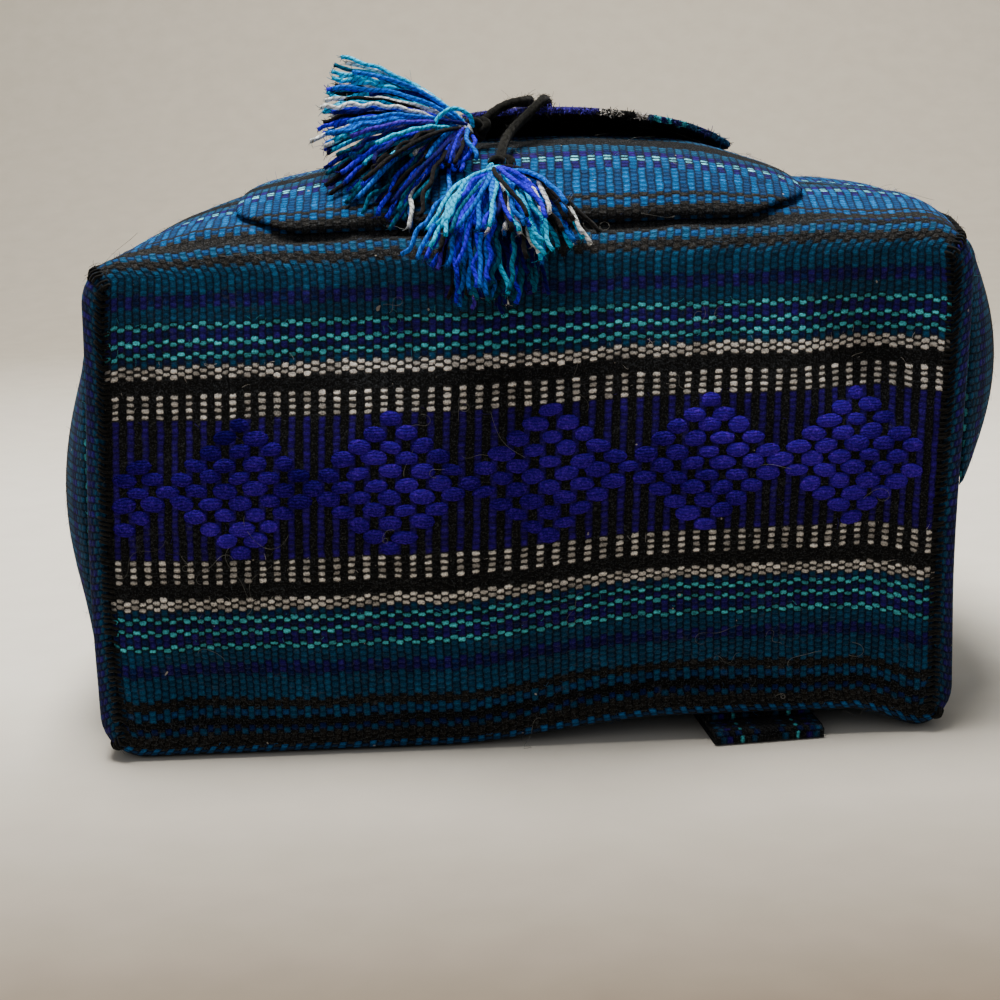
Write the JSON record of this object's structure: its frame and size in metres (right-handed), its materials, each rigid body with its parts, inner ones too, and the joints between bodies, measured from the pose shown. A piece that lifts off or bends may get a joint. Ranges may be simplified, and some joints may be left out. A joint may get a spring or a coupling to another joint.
{
  "type": "drawstring backpack",
  "caption": "Small handwoven drawstring backpack lying on its back, with a flapped front pocket, side pockets, folded shoulder straps and tasselled drawcords.",
  "frame": {"origin": "bottom centre of the sewn bag as it lies on its back, without its drawcords and tassels", "axes": "-Y out of the base, +Y towards the drawn mouth, +Z out of the front panel, up as it lies"},
  "size_m": [0.3948, 0.417, 0.2713],
  "materials": {
    "woven_cloth": "ribbed handwoven cotton with stripes",
    "gusset_cloth": "ribbed handwoven cotton, stripes running up the bag",
    "flap_cloth": "ribbed handwoven cotton, brocaded",
    "strap_cloth": "ribbed handwoven cotton, dark",
    "cord_yarn": "fuzzy braided cord",
    "tassel_yarn": "twisted yarn in mixed blues and white"
  },
  "bodies": {
    "root": {"body_wrap": "woven_cloth", "gusset_left": "gusset_cloth", "gusset_right": "gusset_cloth", "front_pocket": "woven_cloth", "pocket_flap": "flap_cloth", "side_pocket_left": "gusset_cloth", "side_pocket_right": "gusset_cloth", "strap_left": "strap_cloth", "strap_right": "strap_cloth", "drawcord_left": "cord_yarn", "drawcord_right": "cord_yarn", "tassel_left": "tassel_yarn", "tassel_front": "tassel_yarn"}
  },
  "joints": []
}
